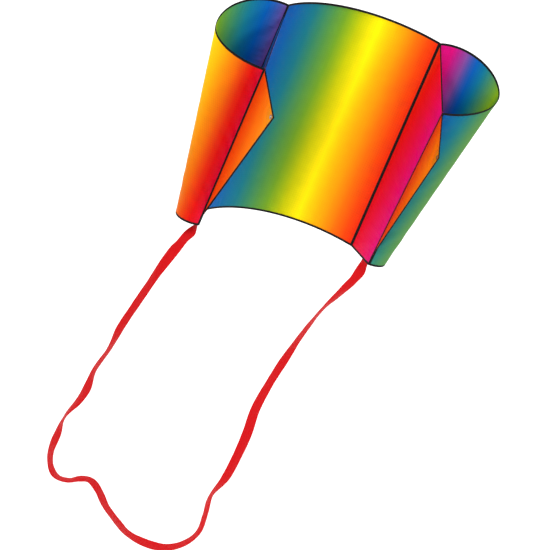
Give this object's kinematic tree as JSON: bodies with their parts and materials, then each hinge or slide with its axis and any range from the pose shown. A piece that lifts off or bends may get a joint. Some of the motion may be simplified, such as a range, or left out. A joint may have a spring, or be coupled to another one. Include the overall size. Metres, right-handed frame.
{
  "type": "frameless sled kite",
  "caption": "Frameless sled kite: an arched rainbow sail between two open tapering tubes with triangular keels, and a looped ribbon tail.",
  "frame": {"origin": "the tow point, midway between the centres of the eyelets in the two keels", "axes": "+X across the span to the side of the red and blue tube, +Y from the front, where the keels stand, to the back of the sail, +Z from the trailing edge to the leading edge"},
  "size_m": [0.641, 0.2594, 1.29],
  "materials": {
    "sail_cloth": "satin",
    "left_tube_cloth": "satin",
    "right_tube_cloth": "satin",
    "left_wall_cloth": "satin",
    "right_wall_cloth": "satin",
    "keel_cloth": "satin",
    "keel_patch": "satin",
    "binding_tape": "matte",
    "ribbon": "satin",
    "eyelet_metal": "satin"
  },
  "bodies": {
    "root": {"sail": "sail_cloth", "leading_edge_binding": "binding_tape", "trailing_edge_binding": "binding_tape", "left_main_seam": "binding_tape", "right_main_seam": "binding_tape"},
    "left_tube": {"left_tube_skin": "left_tube_cloth", "left_inner_wall": "left_wall_cloth", "left_mouth_binding": "binding_tape", "left_tube_end_binding": "binding_tape", "left_keel_seam": "binding_tape", "left_tail_tab": "ribbon"},
    "left_keel": {"left_keel": "keel_cloth", "left_keel_binding": "binding_tape", "left_keel_patch": "keel_patch", "left_eyelet": "eyelet_metal"},
    "right_tube": {"right_tube_skin": "right_tube_cloth", "right_inner_wall": "right_wall_cloth", "right_mouth_binding": "binding_tape", "right_tube_end_binding": "binding_tape", "right_keel_seam": "binding_tape", "right_tail_tab": "ribbon"},
    "right_keel": {"right_keel": "keel_cloth", "right_keel_binding": "binding_tape", "right_keel_patch": "keel_patch", "right_eyelet": "eyelet_metal"},
    "tail": {"tail_ribbon": "ribbon"}
  },
  "joints": [
    {"name": "left_tube_swing", "type": "hinge", "parent": "root", "child": "left_tube", "pos_m": [-0.17197, 0.18, -0.08], "axis": [0, 0, -1], "range_deg": [-40, 30]},
    {"name": "left_keel_swing", "type": "hinge", "parent": "left_tube", "child": "left_keel", "pos_m": [-0.1936, 0.11343, -0.33], "axis": [0.0167, 0.0514, -0.9985], "range_deg": [-70, 45]},
    {"name": "right_tube_swing", "type": "hinge", "parent": "root", "child": "right_tube", "pos_m": [0.17197, 0.18, -0.08], "axis": [0, 0, 1], "range_deg": [-40, 30]},
    {"name": "right_keel_swing", "type": "hinge", "parent": "right_tube", "child": "right_keel", "pos_m": [0.1936, 0.11343, -0.33], "axis": [0.0167, -0.0514, 0.9985], "range_deg": [-70, 45]},
    {"name": "tail_swing", "type": "hinge", "parent": "root", "child": "tail", "pos_m": [0, 0.12, -0.375], "axis": [1, 0, 0], "range_deg": [-60, 60]}
  ]
}
